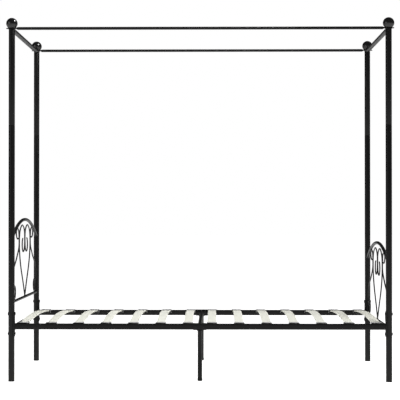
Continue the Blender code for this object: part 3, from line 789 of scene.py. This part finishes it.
def buildRails():
    for corner, signX, signY in corners:
        node = f"side_rail_{corner}"
        postAt, y = signX * bed["postX"], signY * bed["postY"]
        low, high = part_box(node)
        stop = bed["postX"] - bed["postRadius"] - 0.0012
        place = np.array([0.0004, 0.0010, 0.25, 0.5, 0.75, stop - 0.002, stop])
        path = np.column_stack([signX * place, np.full(7, y), np.full(7, bed["railZ"])])
        tube = sweep(path, railSection(), flat=(0, 1, 0))
        piece = skins(f"sideRailTube_{corner}", [tube], coating)
        rideRoot(piece, [node])
        lift = np.array([0.0, 0.001, 0.5, 0.999, 1.0]) * (high[2] - low[2]) + low[2]
        path = np.column_stack([np.full(5, postAt), np.full(5, y), lift])
        strip = sweep(path, saddleOutline(signX), flat=(1, 0, 0))
        piece = skins(f"saddlePlate_{corner}", [strip], coating)
        rideRoot(piece)
        bolts, bosses, tips = [], [], []
        for level in ("low", "high"):
            z = float(middleOf(f"saddle_bolt_{corner}_{level}")[2])
            seat = signX * (bed["postX"] + bed["postRadius"] - 0.0004)
            bolts.append(turned(buttonHead() * (1, signX, 1), (seat, y, z), "X", 48))
            face = signX * (bed["postX"] - bed["postRadius"] - railLook["plate"] - railLook["gap"])
            bosses.append(turned(threadedBoss() * (1, -signX), (face, y, z), "X", 48))
            tips.append(turned(boltTip() * (1, -signX), (face, y, z), "X", 32))
        piece = skins(f"saddleBolts_{corner}", bolts + tips, steel, sharp=40.0)
        rideRoot(piece, [f"saddle_bolt_{corner}_low", f"saddle_bolt_{corner}_high"])
        rideRoot(skins(f"saddleBosses_{corner}", bosses, coating, sharp=40.0))
        rideRoot(skins(f"railWeld_{corner}", [railWeld(signX, y)], weldCoat, sharp=80.0))


def railWeld(signX, y):
    # A rippled run round the rail's outline, walked evenly, each point moved along the
    # bed onto the curved plate: its place less sqrt(plate radius^2 - across^2).
    section = railSection()
    section = np.concatenate([section, section[:1]])
    length = np.concatenate([[0.0], np.cumsum(np.linalg.norm(np.diff(section, axis=0), axis=1))])
    walk = np.linspace(0, length[-1], 121)
    u = np.interp(walk, length, section[:, 0])
    v = np.interp(walk, length, section[:, 1])
    far = bed["postRadius"] + railLook["plate"]
    x = signX * (bed["postX"] - np.sqrt(far ** 2 - u ** 2))
    path = np.column_stack([x, y + u, bed["railZ"] + v])
    ripple = 1 + 0.18 * np.sin(walk * 2600)
    outward = np.column_stack([np.full(121, -signX * 0.01), u, v])
    return sweep(path, circle(railLook["weld"], 10), flat=outward, scale=ripple)


couplerLook = {"corner": 0.0045, "edge": 0.0010, "screwAt": 0.5, "screwScale": 0.72}


def buildCouplers():
    corner, edge = couplerLook["corner"], couplerLook["edge"]
    for side in ("front", "back"):
        node = f"rail_coupler_{side}"
        size, centre = sizeOf(node), middleOf(node)
        half = size[0] / 2
        inset = np.array([edge, 0.4 * edge, 0.0, 0.0, 0.0, 0.4 * edge, edge])
        place = half * np.array([-1, -1, -1, 0, 1, 1, 1]) + (
            edge * np.array([0.0, 0.4, 1.0, 0.0, -1.0, -0.4, 0.0]))
        sections = np.stack([roundedBar(size[1] - 2 * i, size[2] - 2 * i, corner, 6)
                             for i in inset])
        path = np.column_stack([place, np.full(7, centre[1]), np.full(7, centre[2])])
        sleeve = sweep(path, sections, flat=(0, 1, 0))
        rideRoot(skins(f"couplerSleeve_{side}", [sleeve], coating), [node])
        heads, screw = [], buttonHead(couplerLook["screwScale"])
        for along in (-1, 1):
            for way in (-1, 1):
                seat = (along * couplerLook["screwAt"] * half,
                        centre[1] + way * (size[1] / 2 - 0.0002), centre[2])
                heads.append(turned(screw * (1, way, 1), seat, "Y", 48))
        rideRoot(skins(f"couplerScrews_{side}", heads, steel, sharp=40.0))


legLook = {"radius": 0.0125, "flange": 0.0175, "plate": 0.003, "shoe": 0.014, "shoeWall": 0.0011}
crossLook = {"radius": 0.0125, "weld": 0.0020}


def buildMiddle():
    reach = float(sizeOf("centre_crossbar")[1]) / 2
    y = np.linspace(-1, 1, 9) * (reach + 0.0008)
    path = np.column_stack([np.zeros(9), y, np.full(9, bed["railZ"])])
    tube = sweep(path, circle(crossLook["radius"], 56))
    rideRoot(skins("centreCrossTube", [tube], coating), ["centre_crossbar"])
    for side, sign in (("front", -1), ("back", 1)):
        node = f"centre_leg_{side}"
        low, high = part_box(node)
        radius, flange = legLook["radius"], legLook["flange"]
        bottom, top, plate = float(low[2]), float(high[2]), legLook["plate"]
        tubeFoot = bottom + legLook["shoe"]
        leg = [(0.0, tubeFoot - 0.002), (radius - 0.0006, tubeFoot - 0.002),
               (radius, tubeFoot - 0.0014), (radius, 0.5 * (top + bottom)),
               (radius, top - plate - 0.0022), (radius + 0.0007, top - plate - 0.0008),
               (radius + 0.0022, top - plate), (flange - 0.0005, top - plate),
               (flange, top - plate + 0.0005), (flange, top - 0.0005), (flange - 0.0005, top),
               (0.0, top)]
        axis = (0.0, sign * bed["postY"], 0.0)
        rideRoot(skins(f"centreLegTube_{side}", [turned(leg, axis)], coating, sharp=40.0),
                 [node])
        rim, soft = radius + legLook["shoeWall"], 0.0018
        shoe = [(0.0, bottom)]
        shoe += arcProfile((rim - soft, bottom + soft), soft, -90, 0, 6).tolist()
        shoe += [(rim, tubeFoot - 0.0012), (rim - 0.0006, tubeFoot - 0.0003),
                 (radius - 0.0005, tubeFoot)]
        rideRoot(skins(f"centreLegShoe_{side}", [turned(shoe, axis)], plastic))
    seams, seam, t = [], crossLook["radius"] + 0.0002, np.linspace(0, tau, 73)
    for sign in (-1, 1):
        path = np.column_stack([seam * np.cos(t), np.full(73, sign * reach),
                                bed["railZ"] + seam * np.sin(t)])
        outward = np.column_stack([np.cos(t), np.full(73, -sign * 0.6), np.sin(t)])
        ripple = 1 + 0.16 * np.sin(t * 30)
        seams.append(sweep(path, circle(crossLook["weld"], 10), flat=outward, scale=ripple))
    rideRoot(skins("centreCrossWelds", seams, weldCoat, sharp=80.0))


boardLook = {"width": 0.048, "thick": 0.0065, "halfSpan": 0.448, "endZ": 0.3088,
             "bow": 0.0205, "uneven": 0.025, "corner": 0.0014}
holderLook = {"width": 0.056, "depth": 0.050, "low": 0.2985, "lip": 0.0185, "lipThick": 0.0037,
              "wall": 0.0022, "floor": 0.004, "rib": 0.0020, "round": 0.0014}


def buildSlats():
    # A rounded bar along the slat, at height = end + bow (1 - share^2), share from -1 to 1.
    look = boardLook
    section = roundedBar(look["width"], look["thick"], look["corner"], 4)
    share = np.linspace(-1, 1, 49)
    for index in range(14):
        node = f"slat_{index + 1:02d}"
        x = float(middleOf(node)[0])
        bow = look["bow"] * (1 + look["uneven"] * math.sin(index * 2.4))   # no two are alike
        path = np.column_stack([np.full(49, x), share * look["halfSpan"],
                                look["endZ"] + bow * (1 - share ** 2)])
        grid = sweep(path, section, flat=(1, 0, 0))
        depth = np.broadcast_to(0.5 - section[:, 1] / look["thick"], (49, len(section)))
        along = np.broadcast_to(path[:, 1:2], depth.shape)
        board = np.stack([along.ravel(), depth.ravel()], axis=1)
        piece = skins(f"slatBoard_{index + 1:02d}", [grid], wood, sharp=60.0, boardMap=board)
        rideRoot(piece, [node])
        rideRoot(skins(f"slatHolders_{index + 1:02d}", holderGrids(x), paintedSheenPlastic, sharp=60.0))


def holderGrids(x):
    # Rounded boxes: a pocket for the slat's end inside the rail, whose roof is carried
    # on as a hook over the rail, with two low ribs on the hook.
    look = holderLook
    half, wall = look["width"] / 2, look["wall"]
    low, floor = look["low"], look["floor"]
    inside = bed["postY"] - railLook["width"] / 2 - 0.0003
    mouth, hookEnd = inside - look["depth"], inside + look["lip"]
    roof = bed["railZ"] + railLook["height"] / 2 + 0.0003 + look["lipThick"]
    cheek = boardLook["width"] / 2 + 0.0004
    ribAt = half - 0.0065

    # each block: across the holder, from the bed's middle outwards, up, and its corner
    blocks = [
        ((-half, half), (mouth, inside), (low, low + floor), look["round"]),
        ((-half, half), (mouth, hookEnd - 0.001), (roof - wall, roof), 0.0009),
        ((-half, half), (inside - floor, inside), (low + 0.001, roof - 0.001), 0.0010),
    ]
    for side in (-1, 1):
        blocks.append((sorted((side * cheek, side * half)), (mouth + 0.0003, inside - 0.001),
                       (low + 0.001, roof - 0.0005), 0.0010))
        blocks.append((sorted((side * ribAt, side * (ribAt - look["rib"]))),
                       (inside + 0.002, hookEnd - 0.004), (roof - 0.001, roof + 0.0003), 0.0006))
    grids = []
    for sign in (-1, 1):
        for xs, ys, zs, corner in blocks:
            near, far = sorted((sign * ys[0], sign * ys[1]))
            grids.append(roundedBox((x + xs[0], near, zs[0]), (x + xs[1], far, zs[1]), corner, 12))
    return grids


roomLook = {
    "floorSize": 80,
    "floorTones": (0.50, 0.54),
    "floorGlow": 1.0,    # keeps the floor white, without a shadow or a horizon
    "seenAir": 1.0,      # the air as the camera sees it, and as it lights the bed
    "litAir": 0.05,
}

# The soft lamps. Those that aren't mirrored stay out of the coat's reflections.
lamps = {
    "keySoftbox": {"place": (3.4, -3.8, 4.6), "aim": (0.2, 0.0, 0.9), "size": (1.6, 1.6),
                   "power": 230.0, "mirrored": False},
    "fillSoftbox": {"place": (-4.2, -3.2, 2.6), "aim": (0.0, 0.0, 0.8), "size": (2.4, 2.4),
                    "power": 40.0, "mirrored": True},
    "topSoftbox": {"place": (0.0, 0.6, 5.2), "aim": (0.0, 0.0, 0.3), "size": (4.0, 2.4),
                   "power": 180.0, "mirrored": False},
    "ballSoftbox": {"place": (0.45, -0.42, 3.45), "aim": (-2.0, -0.40, 2.85),
                    "size": (0.42, 0.42), "power": 60.0, "mirrored": True},
}


def buildRoom():
    tree = Tree("paleFloor", {"Roughness": 0.7, "Specular IOR Level": 0.1,
                              "Emission Color": (1, 1, 1, 1),
                              "Emission Strength": roomLook["floorGlow"]})
    tone = tree.noise(tree.objectPlace(), 2.0, 2.0)
    dark, pale = roomLook["floorTones"]
    floorMaterial = tree.finish({"Base Color": tree.mixColour(tone, grey(dark), grey(pale))})
    bpy.ops.mesh.primitive_plane_add(size=roomLook["floorSize"], location=(0, 0, 0))
    floor = bpy.context.object
    floor.name = "studioFloor"
    floor.data.materials.append(floorMaterial)


def buildLight():
    world = bpy.data.worlds.new("studioAir")
    bpy.context.scene.world = world
    world.use_nodes = True
    nodes, links = world.node_tree.nodes, world.node_tree.links
    nodes.clear()
    seen = nodes.new("ShaderNodeBackground")
    lit = nodes.new("ShaderNodeBackground")
    seen.inputs["Color"].default_value = (1.0, 1.0, 1.0, 1.0)
    seen.inputs["Strength"].default_value = roomLook["seenAir"]
    lit.inputs["Color"].default_value = (0.97, 0.98, 1.0, 1.0)
    lit.inputs["Strength"].default_value = roomLook["litAir"]
    ray = nodes.new("ShaderNodeLightPath")
    mix = nodes.new("ShaderNodeMixShader")
    out = nodes.new("ShaderNodeOutputWorld")
    links.new(ray.outputs["Is Camera Ray"], mix.inputs[0])
    links.new(lit.outputs[0], mix.inputs[1])
    links.new(seen.outputs[0], mix.inputs[2])
    links.new(mix.outputs[0], out.inputs[0])
    for name, look in lamps.items():
        lamp = bpy.data.lights.new(name, "AREA")
        lamp.shape = "RECTANGLE"
        lamp.size, lamp.size_y = look["size"]
        lamp.energy = look["power"]
        stand = bpy.data.objects.new(name, lamp)
        stand.location = look["place"]
        stand.visible_glossy = look["mirrored"]
        toX, toY, toZ = np.array(look["aim"]) - np.array(look["place"])
        stand.rotation_euler = (math.atan2(math.hypot(toX, toY), -toZ), 0.0,
                                math.atan2(-toX, toY))
        bpy.context.scene.collection.objects.link(stand)


cameraLook = {"place": (0.082, -7.125, 0.920), "lens": 110.57,
              "up": 0.543, "left": 0.70}    # degrees that it is tilted and turned


def buildCamera():
    data = bpy.data.cameras.new("studioCamera")
    data.lens = cameraLook["lens"]
    data.sensor_width = 36.0
    data.clip_end = 200.0
    camera = bpy.data.objects.new("studioCamera", data)
    camera.location = cameraLook["place"]
    camera.rotation_euler = (math.radians(90 + cameraLook["up"]), 0.0,
                             math.radians(cameraLook["left"]))
    bpy.context.scene.collection.objects.link(camera)
    bpy.context.scene.camera = camera


buildPosts()
buildFinials()
print("posts and finials made")
buildCanopy()
print("canopy frame made")
buildPanels()
print("end panels made")
buildRails()
buildCouplers()
buildMiddle()
print("rails and middle made")
buildSlats()
print("slats made")
buildRoom()
buildLight()
buildCamera()
bpy.context.scene.view_settings.view_transform = "Standard"
print("room, light and camera made")
